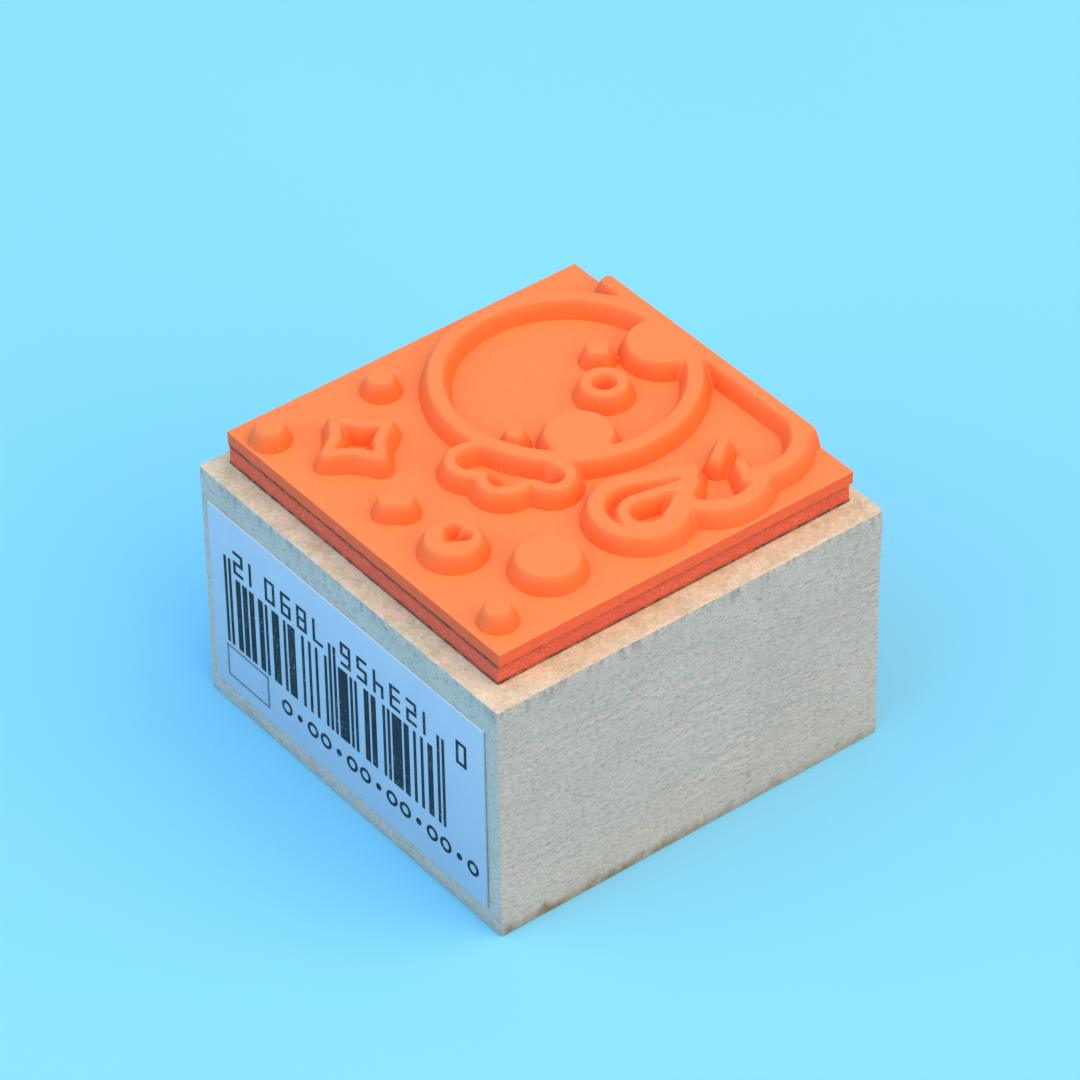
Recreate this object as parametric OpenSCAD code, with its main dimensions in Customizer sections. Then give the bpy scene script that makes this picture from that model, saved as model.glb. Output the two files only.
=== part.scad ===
// A small wood-mounted rubber stamp, lying with its rubber side up.
// A square fibreboard block carries a foam cushion, and the cushion carries a moulded rubber die.
// A printed paper label is stuck to the block's front face, so it reads upside-down in this position.
// The origin is the centre of the block's base, +Z is up and -Y is the labelled front.

/* [Block] */
// Side of the square block
block_side = 30; // [28:0.5:45]
// Height of the block, a standard board thickness
block_height = 18; // [16:1:25]
// Radius of the block's four upright edges
block_edge_radius = 0.4; // [0.2:0.1:1.5]

/* [Cushion and die] */
// Width of the rubber sheet, along X
sheet_width = 27.2; // [27:0.1:27.4]
// Depth of the rubber sheet, along Y
sheet_depth = 27.3; // [27:0.1:27.4]
// Sideways position of the sheet on the block
sheet_x = -0.4; // [-0.5:0.1:0.5]
// Front-to-back position of the sheet on the block
sheet_y = 0.3; // [-0.5:0.1:0.5]
// Thickness of the rubber sheet below the raised picture
sheet_thickness = 0.95; // [0.8:0.05:2]
// Thickness of the foam cushion
foam_thickness = 1.3; // [1:0.1:4]
// How far the foam stands back from the rubber's right edge
foam_setback = 0.2; // [0.1:0.05:0.5]
// Thickness of each double-sided adhesive film
film_thickness = 0.1; // [0.05:0.05:0.3]

/* [Raised picture] */
// Height of the raised picture above the rubber sheet
relief_height = 1.2; // [0.8:0.1:2]
// How much wider a raised shape is at its foot than at its top, on each side
foot_spread = 0.35; // [0.2:0.05:0.4]
// Width of the thick outlines at the top
bold_line = 0.9; // [0.6:0.05:1.1]
// Width of the thin outlines at the top
fine_line = 0.6; // [0.4:0.05:0.8]

/* [Label] */
// Width of the paper label
label_width = 27.8; // [27.6:0.1:28.4]
// Height of the paper label
label_height = 14.1; // [14:0.1:14.4]
// Sideways position of the label's middle on the front face
label_x = -0.1; // [-0.5:0.1:0.5]
// Height of the label's middle above the base
label_z = 8.75; // [8:0.05:9]
// Thickness of the label with its own adhesive
label_thickness = 0.12; // [0.08:0.01:0.2]
// Thickness of the printed ink
ink_thickness = 0.03; // [0.02:0.01:0.05]
// Width of the narrowest printed bar
bar_module = 0.236; // [0.2:0.004:0.236]

/* [Hidden] */
$fn = 64;

// Each layer starts where the one below it ends.
block_film_z = block_height;
foam_z = block_film_z + film_thickness;
die_film_z = foam_z + foam_thickness;
sheet_z = die_film_z + film_thickness;
sheet_top_z = sheet_z + sheet_thickness;
foam_width = sheet_width - foam_setback;
foam_x = sheet_x - foam_setback / 2;

// The raised picture stands on a lower, wider foot.
foot_height = relief_height * 0.4;

// The raised picture: a moon with craters, two clouds, a drop, a star, hearts and dots.
// Its points are [x, y] from the middle of the block.
moon_centre = [-4.2, 5.4];
moon_radius = 8.05;
crater_discs = [[0.8, 2.5, 2.1], [-3.1, 12.2, 2.2], [-5.1, 8.7, 0.7], [-1.7, -0.5, 0.5]];
crater_rings = [[-2.1, 6.8, 1.15]];
top_bar = [[-10, 13.6], [9.2, 13.6]];
back_cloud_arcs = [[7.3, 9.9, 3.6, -22, 66], [8.9, 6.2, 3.1, -75, 49]];
cloud_dashes = [[[9.3, 8.3], [10.6, 7.7]], [[7, 8.8], [8, 7.4]]];
front_cloud_lobes = [
    [-1.2, -4.2, 1.35],
    [1.3, -3.7, 1.4],
    [3, -1.4, 1.2],
    [-0.9, -3.5, 1.44],
    [0, -2.9, 1.25],
    [1.1, -2.4, 1.38],
    [1.9, -1.7, 1.31]
];
drop_centre = [8.6, 0.9];
drop_radius = 2.6;
drop_tip = [7.9, 5.5];
inner_drop_centre = [9.3, 0.9];
inner_drop_radius = 1.4;
inner_drop_tip = [8.8, 4.9];
drop_steps = 40;
star_centre = [-7.3, -8.3];
star_points = 4;
star_outer = 2.35;
star_inner = 1.35;
solid_heart = [-1.4, -9.8, 1.2, -40];
heart_disc = [3.95, -9.6, 1.7];
heart_hollow = [3.85, -9.5, 1.2, 100];
dots = [[-11.2, -3.6, 0.8], [-11.6, -11.8, 0.85], [10.7, -11.5, 0.75], [8.9, -6.3, 1.95]];

// The label's print, in the label's own axes: u to the right and v up, as it is read.
bars_left = -10;
bars_top = 3.2;
bars_bottom = -2.5;
guard_bottom = -3.8;
digit_height = 1.8;
digit_width = 1;
digit_stroke = 0.22;
digit_bottom = -4.75;
first_digit_left = -12.2;
ornament_v = 4.7;
ornament_left = -12.6;
ornament_pitch = 1.35;
ornament_count = 15;
box_centre = [10.4, 4.8];
box_size = [4.4, 2.6];
box_line = 0.15;

// The placeholder number and the standard codes of its digits, as bars and as seven segments.
number = [0, 1, 2, 3, 4, 5, 6, 7, 8, 9, 0, 1, 2];
bar_codes = [
    "0001101", "0011001", "0010011", "0111101", "0100011",
    "0110001", "0101111", "0111011", "0110111", "0001011"
];
segment_codes = [
    "1111110", "0110000", "1101101", "1111001", "0110011",
    "1011011", "1011111", "1110000", "1111111", "1111011"
];
digit_modules = 7;
guard_modules = 3;
middle_modules = 5;
left_start = guard_modules;
middle_start = left_start + 6 * digit_modules;
right_start = middle_start + middle_modules;
end_start = right_start + 6 * digit_modules;

// ---- Flat shapes of the raised picture ----
// Each takes grow, how much wider it is on every side than its top outline.

function heading(from, to) = atan2(to[1] - from[1], to[0] - from[0]);
function on_circle(centre, radius, angle) = centre + radius * [cos(angle), sin(angle)];

module disc(centre, radius, grow) {
    translate([centre[0], centre[1]])
        circle(radius + grow);
}

module ring(centre, radius, line, grow) {
    difference() {
        disc(centre, radius + line / 2, grow);
        disc(centre, radius - line / 2, -grow);
    }
}

// The part of a ring between two angles that are less than 180 degrees apart, with round ends
module arc(centre, radius, line, from, to, grow) {
    reach = 3 * radius;
    intersection() {
        ring(centre, radius, line, grow);
        polygon([
            [centre[0], centre[1]],
            on_circle([centre[0], centre[1]], reach, from),
            on_circle([centre[0], centre[1]], reach, (from + to) / 2),
            on_circle([centre[0], centre[1]], reach, to)
        ]);
    }
    for (angle = [from, to]) {
        disc(on_circle([centre[0], centre[1]], radius, angle), line / 2, grow);
    }
}

// A chain of straight lines with round corners and ends
module chain(points, line, grow) {
    for (i = [0:len(points) - 2]) {
        run = points[i + 1] - points[i];
        translate(points[i])
            rotate(atan2(run[1], run[0]))
                translate([0, -line / 2 - grow])
                    square([norm(run), line + 2 * grow]);
    }
    for (point = points) {
        disc(point, line / 2, grow);
    }
}

// A filled drop. Growing it by a constant margin is the same as scaling it from the round end's centre.
module filled_drop(centre, radius, tip, grow) {
    towards_tip = heading(centre, tip);
    touch = acos(radius / norm(tip - centre));
    step = (360 - 2 * touch) / drop_steps;
    polygon([
        centre + (tip - centre) * (radius + grow) / radius,
        for (i = [0:drop_steps])
            on_circle(centre, radius + grow, towards_tip + touch + i * step)
    ]);
}

// A drop's outline: a round end, and two lines that leave it where they touch it and meet at the tip
module drop(centre, radius, tip, line, grow) {
    difference() {
        filled_drop(centre, radius, tip, line / 2 + grow);
        filled_drop(centre, radius, tip, -line / 2 - grow);
    }
}

// A heart: two round lobes beside a square. Its place is [x, y, side of the square, way the lobes face].
module heart(place, grow) {
    half = place[2] / 2;
    translate([place[0], place[1]])
        rotate(place[3] - 45) {
            square(place[2] + 2 * grow, center = true);
            translate([0, half])
                circle(half + grow);
            translate([half, 0])
                circle(half + grow);
        }
}

// A cloud's outline: its round lobes together, hollowed by the same lobes one line narrower
module cloud(lobes, line, grow) {
    difference() {
        for (lobe = lobes) {
            disc(lobe, lobe[2] + line / 2, grow);
        }
        for (lobe = lobes) {
            disc(lobe, lobe[2] - line / 2, -grow);
        }
    }
}

// A filled star. Its edges are all equally far from its centre, so growing it by a margin scales it.
module filled_star(grow) {
    half_turn = 180 / star_points;
    edge = sqrt(star_outer ^ 2 + star_inner ^ 2 - 2 * star_outer * star_inner * cos(half_turn));
    edge_distance = star_outer * star_inner * sin(half_turn) / edge;
    size = (edge_distance + grow) / edge_distance;
    polygon([
        for (i = [0:2 * star_points - 1])
            on_circle(star_centre, size * (i % 2 == 0 ? star_outer : star_inner), 90 + i * half_turn)
    ]);
}

module star(grow) {
    difference() {
        filled_star(fine_line / 2 + grow);
        filled_star(-fine_line / 2 - grow);
    }
}

module moon(grow) {
    ring(moon_centre, moon_radius, bold_line, grow);
    for (crater = crater_discs) {
        disc(crater, crater[2], grow);
    }
    for (crater = crater_rings) {
        ring(crater, crater[2], fine_line, grow);
    }
}

module back_cloud(grow) {
    chain(top_bar, bold_line, grow);
    for (lobe = back_cloud_arcs) {
        arc(lobe, lobe[2], bold_line, lobe[3], lobe[4], grow);
    }
    for (dash = cloud_dashes) {
        chain(dash, fine_line, grow);
    }
}

// The whole picture, cut off square at the rubber sheet's edges
module picture(grow) {
    intersection() {
        union() {
            moon(grow);
            back_cloud(grow);
            cloud(front_cloud_lobes, fine_line, grow);
            drop(drop_centre, drop_radius, drop_tip, bold_line, grow);
            drop(inner_drop_centre, inner_drop_radius, inner_drop_tip, fine_line, grow);
            star(grow);
            heart(solid_heart, grow);
            difference() {
                disc(heart_disc, heart_disc[2], grow);
                heart(heart_hollow, -grow);
            }
            for (dot = dots) {
                disc(dot, dot[2], grow);
            }
        }
        translate([sheet_x, sheet_y])
            square([sheet_width, sheet_depth], center = true);
    }
}

// ---- Print, as seen by someone reading the label ----

// Whether a digit's bar code has ink at one of its seven modules; the right half is inverted
function inked(digit, place, inverted) = (bar_codes[digit][place] == "1") != inverted;

module bar(start, bottom) {
    translate([bars_left + start * bar_module, bottom, 0])
        cube([bar_module, bars_top - bottom, ink_thickness]);
}

module digit_bars(digit, start, inverted) {
    for (place = [0:digit_modules - 1]) {
        if (inked(digit, place, inverted)) {
            bar(start + place, bars_bottom);
        }
    }
}

module guard_bars() {
    for (start = [0, 2, middle_start + 1, middle_start + 3, end_start, end_start + 2]) {
        bar(start, guard_bottom);
    }
}

// The seven strokes of a digit: top, upper right, lower right, bottom, lower left, upper left, middle
function segment_box(i) =
    let (
        w = digit_width,
        h = digit_height,
        s = digit_stroke,
        m = (digit_height - digit_stroke) / 2
    )
    [
        [0, h - s, w, s],
        [w - s, m, s, h - m],
        [w - s, 0, s, m + s],
        [0, 0, w, s],
        [0, 0, s, m + s],
        [0, m, s, h - m],
        [0, m, w, s]
    ][i];

module printed_digit(digit, left) {
    for (i = [0:6]) {
        if (segment_codes[digit][i] == "1") {
            place = segment_box(i);
            translate([left + place[0], digit_bottom + place[1], 0])
                cube([place[2], place[3], ink_thickness]);
        }
    }
}

// Where the digit below a group of bars starts
function digit_left(start) = bars_left + (start + digit_modules / 2) * bar_module - digit_width / 2;

module bar_code() {
    guard_bars();
    printed_digit(number[0], first_digit_left);
    for (i = [1:6]) {
        left = left_start + (i - 1) * digit_modules;
        right = right_start + (i - 1) * digit_modules;
        digit_bars(number[i], left, false);
        digit_bars(number[i + 6], right, true);
        printed_digit(number[i], digit_left(left));
        printed_digit(number[i + 6], digit_left(right));
    }
}

// A plain row of rings and dots above the bars, and an empty box at its end
module ornaments() {
    for (i = [0:ornament_count - 1]) {
        translate([ornament_left + i * ornament_pitch, ornament_v, 0])
            if (i % 3 == 1) {
                cylinder(h = ink_thickness, r = 0.25);
            } else {
                difference() {
                    cylinder(h = ink_thickness, r = 0.55);
                    translate([0, 0, -1])
                        cylinder(h = 2, r = 0.33);
                }
            }
    }
    translate([box_centre[0], box_centre[1], 0])
        difference() {
            translate([-box_size[0] / 2, -box_size[1] / 2, 0])
                cube([box_size[0], box_size[1], ink_thickness]);
            translate([box_line - box_size[0] / 2, box_line - box_size[1] / 2, -1])
                cube([box_size[0] - 2 * box_line, box_size[1] - 2 * box_line, 2]);
        }
}

// Puts label artwork on the front face, upside-down, at a distance out from it
module on_front(out) {
    translate([label_x, -block_side / 2 - out, label_z])
        rotate([90, 0, 0])
            rotate([0, 0, 180])
                children();
}

// ---- The pieces ----

module mdf_block() {
    inner = block_side - 2 * block_edge_radius;
    corner = inner / 2;
    color("tan")
        linear_extrude(block_height) {
            square([inner, block_side], center = true);
            square([block_side, inner], center = true);
            for (x = [-corner, corner], y = [-corner, corner]) {
                translate([x, y])
                    circle(block_edge_radius);
            }
        }
}

module layer(width, middle_x, bottom, thickness) {
    translate([middle_x - width / 2, sheet_y - sheet_depth / 2, bottom])
        cube([width, sheet_depth, thickness]);
}

module block_adhesive() {
    color("saddlebrown")
        layer(foam_width, foam_x, block_film_z, film_thickness);
}

module foam_cushion() {
    color("indianred")
        layer(foam_width, foam_x, foam_z, foam_thickness);
}

module die_adhesive() {
    color("saddlebrown")
        layer(foam_width, foam_x, die_film_z, film_thickness);
}

// The sheet and its raised picture are one moulding, cut off square at the sheet's edges.
module rubber_die() {
    color("coral") {
        layer(sheet_width, sheet_x, sheet_z, sheet_thickness);
        translate([0, 0, sheet_top_z]) {
            linear_extrude(foot_height)
                picture(foot_spread);
            linear_extrude(relief_height)
                picture(0);
        }
    }
}

module paper_label() {
    color("aliceblue")
        on_front(0)
            translate([-label_width / 2, -label_height / 2, 0])
                cube([label_width, label_height, label_thickness]);
}

module label_print() {
    color("black")
        on_front(label_thickness) {
            bar_code();
            ornaments();
        }
}

mdf_block();
block_adhesive();
foam_cushion();
die_adhesive();
rubber_die();
paper_label();
label_print();
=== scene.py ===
import math

import bpy
import numpy as np
from mathutils import Matrix, Vector


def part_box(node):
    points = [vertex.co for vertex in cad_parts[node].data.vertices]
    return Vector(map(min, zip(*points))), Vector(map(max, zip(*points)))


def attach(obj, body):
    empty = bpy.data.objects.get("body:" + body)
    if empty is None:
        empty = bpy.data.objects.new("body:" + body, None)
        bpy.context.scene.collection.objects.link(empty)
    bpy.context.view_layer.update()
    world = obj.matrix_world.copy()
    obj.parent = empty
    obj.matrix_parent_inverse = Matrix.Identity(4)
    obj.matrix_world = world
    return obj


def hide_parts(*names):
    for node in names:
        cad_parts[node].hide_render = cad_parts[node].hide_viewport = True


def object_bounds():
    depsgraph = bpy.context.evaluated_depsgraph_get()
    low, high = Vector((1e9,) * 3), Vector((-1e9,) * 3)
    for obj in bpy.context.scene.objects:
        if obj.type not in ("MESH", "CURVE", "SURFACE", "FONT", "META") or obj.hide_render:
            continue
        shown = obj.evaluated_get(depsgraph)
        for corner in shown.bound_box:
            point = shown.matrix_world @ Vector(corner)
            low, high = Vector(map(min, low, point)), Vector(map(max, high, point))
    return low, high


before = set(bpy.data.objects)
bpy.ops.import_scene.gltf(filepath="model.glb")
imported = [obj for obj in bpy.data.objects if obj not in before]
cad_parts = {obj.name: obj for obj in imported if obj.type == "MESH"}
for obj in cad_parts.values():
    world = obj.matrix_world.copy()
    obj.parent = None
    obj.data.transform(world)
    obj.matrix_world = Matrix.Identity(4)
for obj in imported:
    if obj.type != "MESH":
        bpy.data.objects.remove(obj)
CAD_BOX = [list(corner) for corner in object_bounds()]
MM = 0.001

# The raised picture, in millimetres from the middle of the block, as in the CAD model. Each shape lists
# what its function further down takes, without the width of its line.
MOON = ((-4.2, 5.4), 8.05)
CRATER_DISCS = [((0.8, 2.5), 2.1), ((-3.1, 12.2), 2.2), ((-5.1, 8.7), 0.7), ((-1.7, -0.5), 0.5)]
CRATER_RING = ((-2.1, 6.8), 1.15)
TOP_BAR = ((-10, 13.6), (9.2, 13.6))
BACK_CLOUD_ARCS = [((7.3, 9.9), 3.6, -22, 66), ((8.9, 6.2), 3.1, -75, 49)]
CLOUD_DASHES = [((9.3, 8.3), (10.6, 7.7)), ((7, 8.8), (8, 7.4))]
FRONT_CLOUD_LOBES = [
    ((-1.2, -4.2), 1.35), ((1.3, -3.7), 1.4), ((3, -1.4), 1.2), ((-0.9, -3.5), 1.44),
    ((0, -2.9), 1.25), ((1.1, -2.4), 1.38), ((1.9, -1.7), 1.31),
]
DROP = ((8.6, 0.9), 2.6, (7.9, 5.5))
INNER_DROP = ((9.3, 0.9), 1.4, (8.8, 4.9))
STAR = ((-7.3, -8.3), 2.35, 1.35, 4)
SOLID_HEART = ((-1.4, -9.8), 1.2, -40)
HEART_DISC = ((3.95, -9.6), 1.7)
HEART_HOLLOW = ((3.85, -9.5), 1.2, 100)
DOTS = [((-11.2, -3.6), 0.8), ((-11.6, -11.8), 0.85), ((10.7, -11.5), 0.75), ((8.9, -6.3), 1.95)]
BOLD_LINE = 0.9
FINE_LINE = 0.6
RELIEF_HEIGHT = 1.2

# How far a raised shape's wall reaches outside its outline at the foot, and inside it at the top.
FOOT_SPREAD = 0.56
EDGE_SOFTNESS = 0.06

# The grid under the raised picture, and the rings of each cut side.
GRID_CELLS = 288
SIDE_LEVELS = 7

# How far in from the rim each ring of a flat face lies.
CUT_INSETS = [0.1, 0.3, 1, 4, 10]
BLOCK_BASE_INSETS = [0.3, 0.9, 2.5, 6, 13]
BLOCK_TOP_INSETS = [*np.arange(0.15, 2.7, 0.15), 3.2, 6, 13]


# ---- Noise, the same on every run ----

def lattice(cells, seed):
    """A number from 0 to 1 for each whole-numbered cell. The large odd numbers only scramble the bits."""
    c = cells.astype(np.int64).astype(np.uint32)
    h = c[..., 0] * np.uint32(374761393) + c[..., 1] * np.uint32(668265263)
    h = h + c[..., 2] * np.uint32(2246822519) + np.uint32(seed * 3266489917 % 2**32)
    h = (h ^ (h >> np.uint32(13))) * np.uint32(1274126177)
    h = (h ^ (h >> np.uint32(15))) * np.uint32(2246822519)
    return (h ^ (h >> np.uint32(16))) / 2**32


def value_noise(points, seed):
    """Smooth noise from -1 to 1 with a feature size of 1."""
    cell = np.floor(points)
    t = points - cell
    t = t * t * t * (t * (t * 6 - 15) + 10)
    total = np.zeros(len(points))
    for corner in np.ndindex(2, 2, 2):
        weight = np.prod(np.where(corner, t, 1 - t), axis=1)
        total += weight * lattice(cell + np.array(corner), seed)
    return total * 2 - 1


def layered_noise(points, size, octaves, seed):
    """Noise from about -1 to 1, whose largest features are size (one number, or one per axis)."""
    scaled = points / np.array(size, float)
    total = np.zeros(len(points))
    for octave in range(octaves):
        total += value_noise(scaled * 2**octave, seed + octave) / 2**octave
    return total / (2 - 2 ** (1 - octaves))


def smoothstep(low, high, x):
    t = np.clip((x - low) / (high - low), 0, 1)
    return t * t * (3 - 2 * t)


# ---- Mesh making ----

def mesh_piece(name, points, faces, material, node, sharp_angle=180):
    """A mesh that rides on the block and stands for a CAD node. points are in millimetres."""
    mesh = bpy.data.meshes.new(name)
    mesh.from_pydata(np.asarray(points) * MM, [], faces)
    mesh.polygons.foreach_set("use_smooth", [True] * len(mesh.polygons))
    mesh.set_sharp_from_angle(angle=math.radians(sharp_angle))
    mesh.update()
    piece = bpy.data.objects.new(name, mesh)
    bpy.context.scene.collection.objects.link(piece)
    mesh.materials.append(material)
    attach(piece, "root")
    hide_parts(node)
    return piece


def loft(rings):
    """Points and faces of a closed skin over rings of equal length, with a fan at each end."""
    rings = np.asarray(rings)
    count, around = rings.shape[:2]
    low_end = rings[0].mean(axis=0)
    high_end = rings[-1].mean(axis=0)
    points = np.concatenate([rings.reshape(-1, 3), [low_end, high_end]])
    here = np.arange(around)
    after = (here + 1) % around
    faces = []
    for i in range(count - 1):
        a, b = i * around, (i + 1) * around
        faces += np.stack([a + here, a + after, b + after, b + here], axis=1).tolist()
    last = (count - 1) * around
    bottom, top = count * around, count * around + 1
    faces += np.stack([after, here, np.full(around, bottom)], axis=1).tolist()
    faces += np.stack([last + here, last + after, np.full(around, top)], axis=1).tolist()
    return points, faces


def slab_outline(half_width, half_depth, radius, steps, corner_steps=6):
    """A rectangle with round corners, and its outward directions, with the same points per side."""
    points, normals = [], []
    sides = [((1, 0), (0, 1)), ((0, 1), (-1, 0)), ((-1, 0), (0, -1)), ((0, -1), (1, 0))]
    for outward, along in sides:
        outward, along = np.array(outward, float), np.array(along, float)
        reach = abs(outward @ (half_width, half_depth))
        run = abs(along @ (half_width, half_depth)) - radius
        for t in np.linspace(-1, 1, steps):
            points.append(outward * reach + along * run * t)
            normals.append(outward)
        middle = outward * (reach - radius) + along * run
        for angle in np.linspace(0, math.pi / 2, corner_steps + 2)[1:-1]:
            way = outward * math.cos(angle) + along * math.sin(angle)
            points.append(middle + way * radius)
            normals.append(way)
    return np.array(points), np.array(normals)


def slab(low, high, radius, rim, steps, rows, low_insets, high_insets):
    """Rings of a rounded slab and their outward directions: over its base, up its sides, over its top."""
    half = (high - low) / 2
    centre = (high + low) / 2
    rings, normals = [], []

    def ring(inset, z, tilt):
        flat, way = slab_outline(half[0] - inset, half[1] - inset, max(radius - inset, 0.02), steps)
        rings.append(np.column_stack([flat + centre[:2], np.full(len(flat), z)]))
        normals.append(np.column_stack([way * math.cos(tilt), np.full(len(flat), math.sin(tilt))]))

    rim_angles = np.linspace(0, math.pi / 2, 4)
    for inset in low_insets[::-1]:
        ring(rim + inset, low[2], -math.pi / 2)
    for angle in rim_angles[::-1]:
        ring(rim * (1 - math.cos(angle)), low[2] + rim * (1 - math.sin(angle)), -angle)
    for z in np.linspace(low[2] + rim, high[2] - rim, rows)[1:-1]:
        ring(0, z, 0)
    for angle in rim_angles:
        ring(rim * (1 - math.cos(angle)), high[2] - rim * (1 - math.sin(angle)), angle)
    for inset in high_insets:
        ring(rim + inset, high[2], math.pi / 2)
    return np.array(rings), np.array(normals)


def box_mm(node):
    low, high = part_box(node)
    return np.array(low) / MM, np.array(high) / MM


# ---- Materials ----

class Nodes:
    """A material's node tree, with a short call for each kind of node."""

    def __init__(self, name):
        self.material = bpy.data.materials.new(name)
        self.material.use_nodes = True
        self.tree = self.material.node_tree
        self.shader = self.tree.nodes["Principled BSDF"]
        self.place = self.tree.nodes.new("ShaderNodeTexCoord").outputs["Object"]

    def link(self, source, target):
        self.tree.links.new(source, target)

    def scaled(self, x, y, z):
        node = self.tree.nodes.new("ShaderNodeMapping")
        node.inputs["Scale"].default_value = (x, y, z)
        self.link(self.place, node.inputs["Vector"])
        return node.outputs["Vector"]

    def noise(self, size, detail=3, roughness=0.5, vector=None):
        """Noise from 0 to 1. size is the feature's size in millimetres."""
        node = self.tree.nodes.new("ShaderNodeTexNoise")
        node.inputs["Scale"].default_value = 1 / (size * MM)
        node.inputs["Detail"].default_value = detail
        node.inputs["Roughness"].default_value = roughness
        self.link(vector or self.place, node.inputs["Vector"])
        return node.outputs["Fac"]

    def cells(self, size):
        """The distance from the middle of the nearest cell. size is a cell's size in millimetres."""
        node = self.tree.nodes.new("ShaderNodeTexVoronoi")
        node.inputs["Scale"].default_value = 1 / (size * MM)
        self.link(self.place, node.inputs["Vector"])
        return node.outputs["Distance"]

    def ramp(self, value, *stops):
        """Grey levels or colours at positions along value."""
        node = self.tree.nodes.new("ShaderNodeValToRGB")
        elements = node.color_ramp.elements
        while len(elements) < len(stops):
            elements.new(0.5)
        for element, (position, colour) in zip(elements, stops):
            element.position = position
            element.color = (*colour, 1) if isinstance(colour, tuple) else (colour,) * 3 + (1,)
        self.link(value, node.inputs["Fac"])
        return node.outputs["Color"]

    def mix(self, share, a, b, kind="MIX"):
        node = self.tree.nodes.new("ShaderNodeMix")
        node.data_type = "RGBA"
        node.blend_type = kind
        for value, target in ((share, node.inputs[0]), (a, node.inputs[6]), (b, node.inputs[7])):
            if isinstance(value, bpy.types.NodeSocket):
                self.link(value, target)
            else:
                target.default_value = (*value, 1) if isinstance(value, tuple) else value
        return node.outputs[2]

    def math(self, kind, a, b=0.0, clamp=False):
        node = self.tree.nodes.new("ShaderNodeMath")
        node.operation = kind
        node.use_clamp = clamp
        for value, target in zip((a, b), node.inputs):
            if isinstance(value, bpy.types.NodeSocket):
                self.link(value, target)
            else:
                target.default_value = value
        return node.outputs[0]

    def axis(self, name):
        node = self.tree.nodes.new("ShaderNodeSeparateXYZ")
        self.link(self.place, node.inputs[0])
        return node.outputs[name]

    def facing(self, name):
        """The surface's own direction along an axis, from -1 to 1."""
        geometry = self.tree.nodes.new("ShaderNodeNewGeometry")
        node = self.tree.nodes.new("ShaderNodeSeparateXYZ")
        self.link(geometry.outputs["Normal"], node.inputs[0])
        return node.outputs[name]

    def band(self, value, low, high):
        """0 below low, 1 above high, both in millimetres."""
        node = self.tree.nodes.new("ShaderNodeMapRange")
        node.interpolation_type = "SMOOTHSTEP"
        node.inputs["From Min"].default_value = low * MM
        node.inputs["From Max"].default_value = high * MM
        self.link(value, node.inputs["Value"])
        return node.outputs["Result"]

    def below(self, value, low, high):
        """1 below low, 0 above high, both in millimetres."""
        return self.math("SUBTRACT", 1.0, self.band(value, low, high))

    def bump(self, height, depth):
        """A bump of depth millimetres between height 0 and 1."""
        node = self.tree.nodes.new("ShaderNodeBump")
        node.inputs["Distance"].default_value = depth * MM
        node.inputs["Strength"].default_value = 1.0
        self.link(height, node.inputs["Height"])
        self.link(node.outputs["Normal"], self.shader.inputs["Normal"])

    def colour(self, value):
        self.link(value, self.shader.inputs["Base Color"])

    def roughness(self, value):
        self.link(value, self.shader.inputs["Roughness"])


def rubber_material(sheet_top):
    nodes = Nodes("moulded_rubber")
    base = nodes.mix(nodes.noise(6, 3), (0.95, 0.218, 0.064), (0.97, 0.241, 0.074))
    fine = nodes.noise(0.35, 4, 0.6)
    base = nodes.mix(nodes.ramp(fine, (0.35, 0.0), (0.75, 0.35)), base, (0.94, 0.19, 0.050))
    # Painted shade: the steep walls are darker and deeper orange than the flat faces.
    painted_wall_shade = nodes.ramp(nodes.facing("Z"), (0.30, 1.0), (0.92, 0.0))
    base = nodes.mix(painted_wall_shade, base, (0.93, 0.145, 0.026))
    # The knife-cut sides are drag-marked, and carry painted shade: they are darker and redder than the
    # moulded face.
    drag = nodes.noise(0.3, 4, 0.65, nodes.scaled(0.4, 0.4, 1.6))
    shaded_cut = nodes.mix(nodes.ramp(drag, (0.3, 0.0), (0.7, 1.0)), (0.80, 0.104, 0.032), (0.93, 0.135, 0.042))
    top = nodes.band(nodes.axis("Z"), sheet_top - 0.16, sheet_top - 0.05)
    base = nodes.mix(top, shaded_cut, base)
    dust = nodes.ramp(nodes.cells(0.7), (0.045, 1.0), (0.07, 0.0))
    patchy = nodes.ramp(nodes.noise(4, 2), (0.50, 0.0), (0.60, 0.85))
    nodes.colour(nodes.mix(nodes.math("MULTIPLY", dust, patchy), base, (1.0, 0.62, 0.46)))
    nodes.roughness(nodes.ramp(nodes.noise(1.5, 4), (0.3, 0.42), (0.7, 0.55)))
    grain = nodes.math("ADD", nodes.math("MULTIPLY", nodes.noise(0.12, 3), 0.6), nodes.noise(0.8, 3))
    nodes.bump(grain, 0.012)
    nodes.shader.inputs["Subsurface Weight"].default_value = 0.15
    nodes.shader.inputs["Subsurface Radius"].default_value = (1.0, 0.35, 0.12)
    nodes.shader.inputs["Subsurface Scale"].default_value = 0.6 * MM
    nodes.shader.inputs["Specular IOR Level"].default_value = 0.2
    return nodes.material


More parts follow.
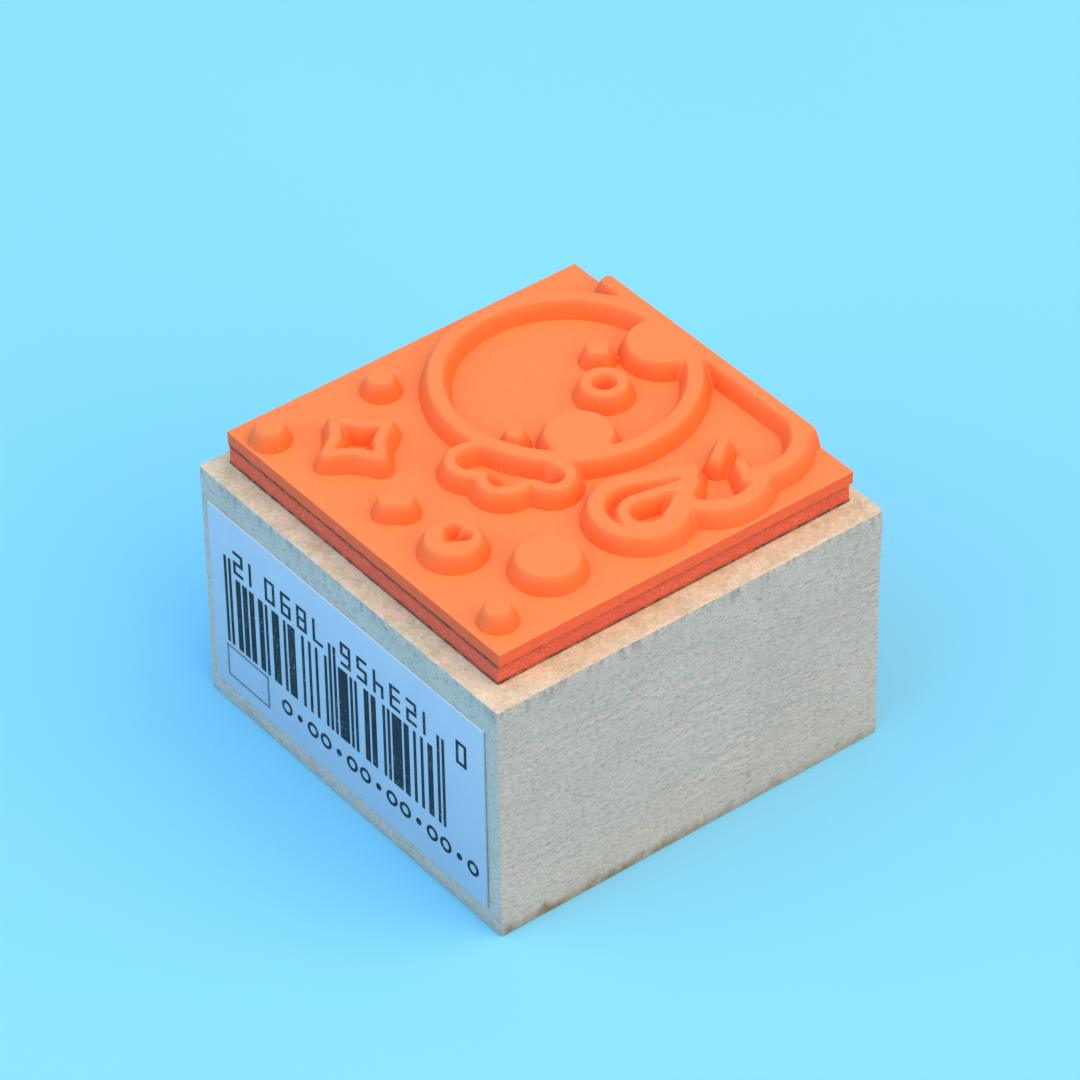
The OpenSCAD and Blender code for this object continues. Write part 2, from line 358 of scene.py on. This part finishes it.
def foam_material(foot, top):
    nodes = Nodes("foam")
    base = nodes.mix(nodes.noise(2.2, 4, 0.6), (0.70, 0.110, 0.056), (0.92, 0.165, 0.088))
    # Painted shade darkens the pits of the pores.
    pore_shade = nodes.ramp(nodes.cells(0.16), (0.10, 0.62), (0.40, 1.0))
    base = nodes.mix(0.8, base, pore_shade, "MULTIPLY")
    pale = nodes.ramp(nodes.noise(0.22, 3, 0.7), (0.60, 0.0), (0.74, 0.5))
    base = nodes.mix(pale, base, (0.90, 0.34, 0.22))
    # Ragged dark strips at the two films: the upper one, darker, is painted shadow under the rubber's
    # overhang; the lower one is partly glue, partly painted contact shadow.
    ragged = nodes.math("MULTIPLY", nodes.noise(0.5, 4, 0.75), 0.6 * MM)
    upper = nodes.band(nodes.math("ADD", nodes.axis("Z"), ragged), top - 0.06, top + 0.3)
    lower = nodes.below(nodes.math("SUBTRACT", nodes.axis("Z"), ragged), foot - 0.3, foot)
    shadow_and_glue = nodes.math("ADD", nodes.math("MULTIPLY", upper, 0.75), nodes.math("MULTIPLY", lower, 0.2))
    base = nodes.mix(shadow_and_glue, base, (0.19, 0.042, 0.032))
    lint = nodes.ramp(nodes.noise(0.14, 2, 0.8, nodes.scaled(1.0, 1.0, 0.5)), (0.69, 0.0), (0.72, 0.8))
    nodes.colour(nodes.mix(lint, base, (0.92, 0.70, 0.62)))
    nodes.shader.inputs["Roughness"].default_value = 0.9
    nodes.bump(nodes.math("ADD", nodes.noise(0.1, 4, 0.7), nodes.cells(0.16)), 0.05)
    nodes.shader.inputs["Specular IOR Level"].default_value = 0.1
    return nodes.material


def film_material():
    nodes = Nodes("adhesive_film")
    gaps = nodes.ramp(nodes.noise(0.6, 4, 0.75), (0.40, 0.0), (0.60, 1.0))
    base = nodes.mix(gaps, (0.14, 0.040, 0.024), (0.46, 0.125, 0.070))
    fluff = nodes.ramp(nodes.noise(0.18, 3, 0.7), (0.62, 0.0), (0.72, 0.8))
    nodes.colour(nodes.mix(fluff, base, (0.74, 0.54, 0.46)))
    nodes.shader.inputs["Roughness"].default_value = 0.6
    nodes.bump(nodes.noise(0.15, 4), 0.03)
    return nodes.material


def fibreboard_material(foot, top, label_side):
    """Raw board between the heights foot and top, whose side at the Y of label_side is under the label."""
    nodes = Nodes("fibreboard")
    up = nodes.math("ABSOLUTE", nodes.facing("Z"))
    faces = nodes.ramp(up, (0.45, 0.0), (0.75, 1.0))
    # The board's faces are smooth, tan and softly mottled.
    clouds = nodes.ramp(nodes.noise(1.1, 4, 0.65), (0.3, 0.0), (0.7, 1.0))
    clouds = nodes.mix(clouds, (0.62, 0.48, 0.30), (0.84, 0.72, 0.52))
    flecks = nodes.ramp(nodes.noise(0.3, 4, 0.65), (0.34, 0.72), (0.6, 1.0))
    skin = nodes.mix(0.7, clouds, flecks, "MULTIPLY")
    pink = nodes.ramp(nodes.noise(1.9, 3), (0.48, 0.0), (0.70, 0.7))
    skin = nodes.mix(pink, skin, (0.84, 0.58, 0.44))
    specks = nodes.ramp(nodes.noise(0.22, 2, 0.6), (0.25, 0.6), (0.33, 0.0))
    skin = nodes.mix(specks, skin, (0.36, 0.22, 0.12))
    # The sawn sides are grey-beige, with short fibres lying along the board.
    stretched = nodes.scaled(0.42, 0.42, 1.0)
    fibres = nodes.noise(0.16, 4, 0.7, stretched)
    grey = nodes.mix(nodes.noise(3.5, 4, 0.6), (0.51, 0.452, 0.378), (0.66, 0.588, 0.495))
    dark = nodes.ramp(fibres, (0.28, 0.42), (0.50, 1.0))
    sawn = nodes.mix(0.75, grey, dark, "MULTIPLY")
    light = nodes.ramp(nodes.noise(0.2, 3, 0.7, nodes.scaled(0.35, 0.35, 1.0)), (0.56, 0.0), (0.72, 0.45))
    sawn = nodes.mix(light, sawn, (0.68, 0.66, 0.59))
    # Patches of scorching run along the sides' lower edge, most of all near the label but least beside it.
    height = nodes.axis("Z")
    ragged = nodes.math("MULTIPLY", nodes.noise(1.1, 4, 0.7, nodes.scaled(1.0, 1.0, 0.2)), 1.9 * MM)
    low_edge = nodes.below(nodes.math("SUBTRACT", height, ragged), foot - 0.75, foot + 0.2)
    patches = nodes.ramp(nodes.noise(1.7, 3, 0.65), (0.38, 0.4), (0.60, 1.0))
    low_edge = nodes.math("MULTIPLY", low_edge, patches)
    near_label = nodes.below(nodes.axis("Y"), -8, 6)
    off_label_side = nodes.band(nodes.axis("Y"), label_side + 0.1, label_side + 0.6)
    unlabelled = nodes.math("ADD", off_label_side, 0.3, clamp=True)
    amount = nodes.math("ADD", nodes.math("MULTIPLY", near_label, 0.45), 0.45)
    scorched = nodes.math("MULTIPLY", nodes.math("MULTIPLY", low_edge, amount), unlabelled)
    burnt = nodes.mix(nodes.noise(0.5, 3, 0.6), (0.13, 0.085, 0.045), (0.40, 0.24, 0.11))
    sawn = nodes.mix(scorched, sawn, burnt)
    # Grey streaks hang from their upper edge.
    high_edge = nodes.band(nodes.math("ADD", height, ragged), top - 0.5, top + 1.2)
    streaks = nodes.ramp(nodes.noise(0.45, 3, 0.6, nodes.scaled(1.0, 1.0, 0.25)), (0.46, 0.0), (0.66, 1.0))
    shade = nodes.math("MULTIPLY", nodes.math("MULTIPLY", high_edge, streaks), 0.6)
    sawn = nodes.mix(shade, sawn, (0.20, 0.19, 0.175))
    nodes.colour(nodes.mix(faces, sawn, skin))
    nodes.shader.inputs["Roughness"].default_value = 0.88
    nodes.shader.inputs["Specular IOR Level"].default_value = 0.3
    fine = nodes.math("ADD", fibres, nodes.math("MULTIPLY", nodes.noise(0.12, 3, 0.7), 0.5))
    nodes.bump(fine, 0.13)
    return nodes.material


def paper_material(block_top):
    nodes = Nodes("label_paper")
    # Painted shade and painted bounce light: the paper is a little darker and bluer towards its lower
    # edge, nearer the blue floor.
    height = nodes.math("MULTIPLY", nodes.axis("Z"), 1 / (block_top * MM), clamp=True)
    face = nodes.ramp(height, (0.15, (0.335, 0.435, 0.53)), (0.85, (0.45, 0.52, 0.605)))
    mottle = 0.07
    darker = nodes.mix(mottle, face, (0.0, 0.0, 0.0))
    lighter = nodes.mix(mottle, face, (1.0, 1.0, 1.0))
    face = nodes.mix(nodes.noise(3, 4), darker, lighter)
    cut_edge = nodes.ramp(nodes.facing("Z"), (0.5, 0.0), (0.9, 1.0))
    nodes.colour(nodes.mix(cut_edge, face, (0.64, 0.71, 0.79)))
    nodes.roughness(nodes.ramp(nodes.noise(0.4, 3), (0.3, 0.5), (0.7, 0.62)))
    nodes.bump(nodes.noise(0.15, 4, 0.6), 0.006)
    return nodes.material


def ink_material():
    nodes = Nodes("label_ink")
    scuffs = nodes.ramp(nodes.noise(0.16, 4, 0.8), (0.60, 0.0), (0.64, 0.9))
    worn = nodes.ramp(nodes.noise(3.5, 3), (0.40, 0.15), (0.6, 1.0))
    base = nodes.mix(nodes.noise(0.6, 3), (0.004, 0.008, 0.010), (0.014, 0.020, 0.024))
    base = nodes.mix(nodes.math("MULTIPLY", scuffs, worn), base, (0.42, 0.48, 0.54))
    # The far lower end is printed faintly.
    far_end = nodes.below(nodes.axis("X"), -9, -6)
    low_end = nodes.below(nodes.axis("Z"), 5.2, 5.8)
    faint = nodes.math("MULTIPLY", nodes.math("MULTIPLY", far_end, low_end), 0.55)
    nodes.colour(nodes.mix(faint, base, (0.30, 0.36, 0.42)))
    nodes.shader.inputs["Specular IOR Level"].default_value = 0.2
    nodes.roughness(nodes.ramp(nodes.noise(0.5, 3), (0.3, 0.42), (0.7, 0.6)))
    return nodes.material


# ---- The block, the cushion and the films between them ----

def make_block():
    """The sawn block. Its sides carry patches of short fibres that lie along the board."""
    low, high = box_mm("mdf_block")
    rings, normals = slab(
        low, high, radius=0.28, rim=0.13, steps=118, rows=158,
        low_insets=BLOCK_BASE_INSETS, high_insets=BLOCK_TOP_INSETS,
    )
    shape = rings.shape
    points, normals = rings.reshape(-1, 3), normals.reshape(-1, 3)
    sides = 1 - np.abs(normals[:, 2])
    depth_in = np.minimum(points[:, 2] - low[2], high[2] - points[:, 2])
    core = smoothstep(0.8, 4.5, depth_in)
    torn = smoothstep(-0.35, 0.35, layered_noise(points, (7, 7, 5), 2, 19))
    labelled = smoothstep(low[1] + 0.5, low[1] + 0.1, points[:, 1])
    fibre = layered_noise(points, (0.75, 0.75, 0.2), 2, 11)
    lumps = layered_noise(points, (2.4, 2.4, 0.6), 3, 23)
    # The sides are roughest in their torn patches and smoothest under the label.
    rough = sides * (0.15 + 0.85 * core * (0.35 + 0.65 * torn)) * (1 - 0.75 * labelled)
    inward = rough * (0.06 * (1 - fibre) + 0.03 * (1 - lumps))
    inward += 0.012 * (1 - layered_noise(points, 7, 2, 31))
    inward += (1 - sides) * 0.012 * (1 - layered_noise(points, 0.5, 3, 41))
    # Small chips run along the upper and lower edges.
    edge = np.exp(-((depth_in / 0.3) ** 2)) * sides
    inward += edge * 0.035 * (1 + layered_noise(points, (0.7, 0.7, 3), 3, 47))
    points = points - normals * inward[:, None]
    points, faces = loft(points.reshape(shape))
    board = fibreboard_material(low[2], high[2], low[1])
    mesh_piece("block", points, faces, board, "mdf_block")


def make_cut_layer(name, node, material, rows, recess, pits, seed):
    """A thin sheet cut with a knife: its edge wanders by recess and is pitted by pits."""
    low, high = box_mm(node)
    rings, normals = slab(
        low, high, radius=0.12, rim=(high[2] - low[2]) * 0.08, steps=180, rows=rows,
        low_insets=CUT_INSETS, high_insets=CUT_INSETS,
    )
    shape = rings.shape
    points, normals = rings.reshape(-1, 3), normals.reshape(-1, 3)
    flat_way = np.column_stack([normals[:, :2], np.zeros(len(normals))])
    wander = 0.5 - 0.5 * layered_noise(points * (1, 1, 0.4), 4, 3, seed)
    fine = 0.5 - 0.5 * layered_noise(points, 0.22, 3, seed + 9)
    inward = recess * wander + pits * fine**2
    points = points - flat_way * inward[:, None]
    points, faces = loft(points.reshape(shape))
    return mesh_piece(name, points, faces, material, node)


def make_film(name, node, material, recess, seed):
    make_cut_layer(
        name, node, material, rows=4, recess=recess, pits=0.16, seed=seed,
    )


def make_foam():
    low, high = box_mm("foam_cushion")
    material = foam_material(low[2], high[2])
    foam = make_cut_layer(
        "foam", "foam_cushion", material, rows=22, recess=0.09, pits=0.12, seed=131,
    )


# ---- The raised picture as distances from spots in the plan to a shape's outline, negative inside it ----

def away(spots, centre):
    return np.hypot(spots[:, 0] - centre[0], spots[:, 1] - centre[1])


def disc(spots, centre, radius):
    return away(spots, centre) - radius


def segment(spots, start, end):
    start, run = np.array(start, float), np.subtract(end, start)
    t = np.clip((spots - start) @ run / (run @ run), 0, 1)
    return np.hypot(*(spots - start - t[:, None] * run).T)


def stroke(spots, start, end, line):
    return segment(spots, start, end) - line / 2


def arc(spots, centre, radius, start, end, line):
    """A stroke along part of a circle, from one angle to another in degrees."""
    middle, half = math.radians((start + end) / 2), math.radians((end - start) / 2)
    angle = np.arctan2(spots[:, 1] - centre[1], spots[:, 0] - centre[0]) - middle
    angle = (angle + math.pi) % (2 * math.pi) - math.pi
    on_arc = middle + np.clip(angle, -half, half)
    nearest = np.array(centre) + radius * np.column_stack([np.cos(on_arc), np.sin(on_arc)])
    return np.hypot(*(spots - nearest).T) - line / 2


def soft_minimum(a, b, blend):
    """The smaller distance, rounded where two shapes meet."""
    nearness = np.maximum(blend - np.abs(a - b), 0) / blend
    return np.minimum(a, b) - nearness * nearness * blend / 4


def cloud(spots, lobes, line):
    """A line round several discs. Its hollow is rounder than its outside."""
    outer = np.min([disc(spots, centre, radius + line / 2) for centre, radius in lobes], axis=0)
    inner = disc(spots, lobes[0][0], lobes[0][1] - line / 2)
    for centre, radius in lobes[1:]:
        inner = soft_minimum(inner, disc(spots, centre, radius - line / 2), 0.7)
    return np.maximum(outer, -inner)


def drop(spots, centre, radius, tip, line):
    """The outline of a round end whose two tangents meet at the tip."""
    run = np.subtract(tip, centre)
    length = np.hypot(*run)
    along = (spots - centre) @ run / length
    across = np.abs((spots - centre) @ np.array([-run[1], run[0]])) / length
    sine = radius / length
    cosine = math.sqrt(1 - sine * sine)
    down_side = along * cosine - across * sine
    filled = across * cosine + along * sine - radius
    filled = np.where(down_side > length * cosine, np.hypot(across, along - length), filled)
    filled = np.where(down_side < 0, np.hypot(across, along) - radius, filled)
    return np.abs(filled) - line / 2


def star(spots, centre, outer, inner, tips, line):
    angles = math.pi / 2 + np.arange(2 * tips + 1) * math.pi / tips
    reach = np.where(np.arange(2 * tips + 1) % 2 == 0, outer, inner)
    corners = np.array(centre) + reach[:, None] * np.column_stack([np.cos(angles), np.sin(angles)])
    edges = [segment(spots, a, b) for a, b in zip(corners[:-1], corners[1:])]
    return np.min(edges, axis=0) - line / 2


def heart(spots, centre, side, facing):
    """Two lobes beside a square, with the lobes towards the angle facing, in degrees."""
    turn = math.radians(facing - 45)
    right, up = (spots - np.array(centre)).T
    x = right * math.cos(turn) + up * math.sin(turn)
    y = up * math.cos(turn) - right * math.sin(turn)
    half = side / 2
    over = np.maximum(np.abs(np.column_stack([x, y])) - half, 0)
    within = np.minimum(np.maximum(np.abs(x), np.abs(y)) - half, 0)
    square = np.hypot(*over.T) + within
    lobes = np.minimum(np.hypot(x, y - half), np.hypot(x - half, y)) - half
    return np.minimum(square, lobes)


def picture(spots):
    """The distance from each spot to the outline of the raised picture, as drawn on its flat top."""
    shapes = [np.abs(disc(spots, *MOON)) - BOLD_LINE / 2]
    shapes += [disc(spots, *crater) for crater in CRATER_DISCS]
    shapes.append(np.abs(disc(spots, *CRATER_RING)) - FINE_LINE / 2)
    shapes.append(stroke(spots, *TOP_BAR, BOLD_LINE))
    shapes += [arc(spots, *lobe, BOLD_LINE) for lobe in BACK_CLOUD_ARCS]
    shapes += [stroke(spots, *dash, FINE_LINE) for dash in CLOUD_DASHES]
    shapes.append(cloud(spots, FRONT_CLOUD_LOBES, FINE_LINE))
    shapes.append(drop(spots, *DROP, BOLD_LINE))
    shapes.append(drop(spots, *INNER_DROP, FINE_LINE))
    shapes.append(star(spots, *STAR, FINE_LINE))
    shapes.append(heart(spots, *SOLID_HEART))
    shapes.append(np.maximum(disc(spots, *HEART_DISC), -heart(spots, *HEART_HOLLOW)))
    shapes += [disc(spots, *dot) for dot in DOTS]
    distance = shapes[0]
    for shape in shapes[1:]:
        distance = soft_minimum(distance, shape, 0.25)
    return distance


def relief(distance):
    """How far the rubber stands up: flat on top, with a wall that steepens down to a crisp foot."""
    down_wall = np.clip((distance + EDGE_SOFTNESS) / (FOOT_SPREAD + EDGE_SOFTNESS), 0, 1)
    return RELIEF_HEIGHT * (1 - down_wall**1.5)


def grid_lines(low, high):
    """Even lines over the sheet, with closer ones along its rounded rim."""
    rim = [0, 0.02, 0.05]
    even = np.linspace(low + 0.1, high - 0.1, GRID_CELLS)
    return np.concatenate([low + rim, even, high - rim[::-1]])


def picture_slope(spots, reach=0.01):
    """The step that raises the distance to the picture by a millimetre, kept short where it is unclear."""
    slope = np.column_stack([
        (picture(spots + (reach, 0)) - picture(spots - (reach, 0))) / (2 * reach),
        (picture(spots + (0, reach)) - picture(spots - (0, reach))) / (2 * reach),
    ])
    return slope / np.maximum((slope**2).sum(axis=1), 0.2)[:, None]


def die_top(low, high, sheet_top):
    """The moulded face as a grid: its points, their numbers in rows and columns, and its faces."""
    x, y = np.meshgrid(grid_lines(low[0], high[0]), grid_lines(low[1], high[1]))
    spots = np.column_stack([x.ravel(), y.ravel()])
    distance = picture(spots)
    slope = picture_slope(spots)
    inside = np.minimum(spots - low[:2], high[:2] - spots).min(axis=1)
    # Points near a shape's outline or its foot move onto it, so that the edge is clean.
    near = 0.45 * (high[0] - low[0]) / GRID_CELLS
    for contour in (0, FOOT_SPREAD):
        miss = distance - contour
        snap = (np.abs(miss) < near) & (inside > 0.15)
        spots = np.where(snap[:, None], spots - miss[:, None] * slope, spots)
        distance = np.where(snap, contour, distance)
    z = sheet_top + relief(distance)
    flat = np.column_stack([spots, np.zeros(len(spots))])
    z -= 0.012 * (1 + layered_noise(flat, 5, 3, 71)) * 0.5
    round_rim = 0.09
    from_rim = np.clip(round_rim - inside, 0, round_rim)
    z -= round_rim - np.sqrt(round_rim**2 - from_rim**2)
    index = np.arange(x.size).reshape(x.shape)
    # Each cell is cut along the diagonal that follows the nearest edge of the picture.
    a, b = index[:-1, :-1].ravel(), index[:-1, 1:].ravel()
    c, d = index[1:, 1:].ravel(), index[1:, :-1].ravel()
    miss = np.minimum(np.abs(distance), np.abs(distance - FOOT_SPREAD))
    rising = (miss[a] + miss[c] < miss[b] + miss[d])[:, None]
    faces = np.where(rising, np.column_stack([a, b, c]), np.column_stack([a, b, d])).tolist()
    faces += np.where(rising, np.column_stack([a, c, d]), np.column_stack([b, c, d])).tolist()
    return np.column_stack([spots, z]), index, faces


def die_sides(points, border, low, high):
    """The knife-cut sides under the grid's border, and the base: all points so far, and the new faces."""
    middle = (low[:2] + high[:2]) / 2
    half = (high[:2] - low[:2]) / 2
    rings = []
    for level in range(1, SIDE_LEVELS + 1):
        ring = points[border]
        ring[:, 2] += (low[2] - ring[:, 2]) * level / SIDE_LEVELS
        wander = 0.045 * (1 + layered_noise(ring * (1, 1, 0.5), (1.6, 1.6, 0.5), 3, 83)) * 0.5
        on_side = np.abs(ring[:, :2] - middle) > half - 0.001
        ring[:, :2] += np.sign(middle - ring[:, :2]) * on_side * wander[:, None]
        rings.append(ring)
    here = np.arange(len(border))
    after = (here + 1) % len(border)
    faces = []
    upper = border
    for level in range(SIDE_LEVELS):
        lower = len(points) + level * len(border) + here
        faces += np.stack([upper[here], lower[here], lower[after], upper[after]], axis=1).tolist()
        upper = lower
    points = np.concatenate([points, *rings, [[*middle, low[2]]]])
    base = np.full(len(border), len(points) - 1)
    faces += np.stack([upper[after], upper[here], base], axis=1).tolist()
    return points, faces


def make_die():
    """The rubber sheet and its raised picture, as one skin over a fine grid."""
    low, high = box_mm("rubber_die")
    sheet_top = high[2] - RELIEF_HEIGHT
    points, index, faces = die_top(low, high, sheet_top)
    border = np.concatenate([index[0, :-1], index[:-1, -1], index[-1, :0:-1], index[:0:-1, 0]])
    points, side_faces = die_sides(points, border, low, high)
    rubber = rubber_material(sheet_top)
    mesh_piece(
        "rubber_plate", points, faces + side_faces, rubber, "rubber_die", sharp_angle=48,
    )


def dress(node, material):
    """Give a carried-over CAD node its material."""
    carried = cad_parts[node]
    carried.data.materials.clear()
    carried.data.materials.append(material)


# ---- Floor, light and camera ----

def make_floor():
    mesh = bpy.data.meshes.new("floor")
    reach = 1.5
    corners = [(-reach, -reach, 0), (reach, -reach, 0), (reach, reach, 0), (-reach, reach, 0)]
    mesh.from_pydata(corners, [], [(0, 1, 2, 3)])
    floor = bpy.data.objects.new("floor", mesh)
    bpy.context.scene.collection.objects.link(floor)
    nodes = Nodes("pale_floor")
    nodes.colour(nodes.mix(nodes.noise(40, 3), (0.197, 0.60, 0.86), (0.207, 0.62, 0.88)))
    nodes.shader.inputs["Roughness"].default_value = 0.85
    mesh.materials.append(nodes.material)


def make_lamp(name, place, size, power, colour):
    """A square lamp that shines at the middle of the block."""
    aim = Vector((0, 0, 0.01))
    lamp = bpy.data.lights.new(name, "AREA")
    lamp.size = size
    lamp.energy = power
    lamp.color = colour
    holder = bpy.data.objects.new(name, lamp)
    holder.location = place
    holder.rotation_euler = (aim - Vector(place)).to_track_quat("-Z", "Y").to_euler()
    bpy.context.scene.collection.objects.link(holder)


def make_light():
    """A warm key light from the upper right, and a cool one towards the labelled side."""
    world = bpy.data.worlds.new("studio")
    world.use_nodes = True
    background = world.node_tree.nodes["Background"]
    background.inputs["Color"].default_value = (0.50, 0.72, 1.0, 1)
    background.inputs["Strength"].default_value = 0.75
    bpy.context.scene.world = world
    make_lamp("key", (0.55, 0.25, 0.72), size=1.3, power=13.3, colour=(1.0, 0.70, 0.43))
    make_lamp("cool", (-0.25, -0.75, 0.6), size=1.4, power=9.2, colour=(0.48, 0.75, 1.0))


def make_camera():
    """The photograph's viewpoint: its place in block sides from the base's middle, and its turn."""
    side = CAD_BOX[1][0] - CAD_BOX[0][0]
    azimuth, elevation, roll = math.radians(52.3), math.radians(39.54), math.radians(-0.87)
    back = Vector((
        math.sin(azimuth) * math.cos(elevation),
        -math.cos(azimuth) * math.cos(elevation),
        math.sin(elevation),
    ))
    level = Vector((math.cos(azimuth), math.sin(azimuth), 0))
    upright = back.cross(level)
    across = level * math.cos(roll) + upright * math.sin(roll)
    up = upright * math.cos(roll) - level * math.sin(roll)
    camera = bpy.data.cameras.new("camera")
    camera.sensor_width = 36
    camera.lens = 189.3
    camera.shift_x = -0.001
    camera.clip_start = 0.02
    holder = bpy.data.objects.new("camera", camera)
    holder.location = Vector((7.130, -5.508, 7.898)) * side
    holder.rotation_euler = Matrix((across, up, back)).transposed().to_euler()
    bpy.context.scene.collection.objects.link(holder)
    bpy.context.scene.camera = holder


film = film_material()
make_block()
make_film("block_film", "block_adhesive", film, recess=0.06, seed=101)
make_foam()
make_film("die_film", "die_adhesive", film, recess=0.04, seed=151)
make_die()
dress("paper_label", paper_material(box_mm("mdf_block")[1][2]))
dress("label_print", ink_material())
make_floor()
make_light()
make_camera()
bpy.context.scene.view_settings.view_transform = "Standard"
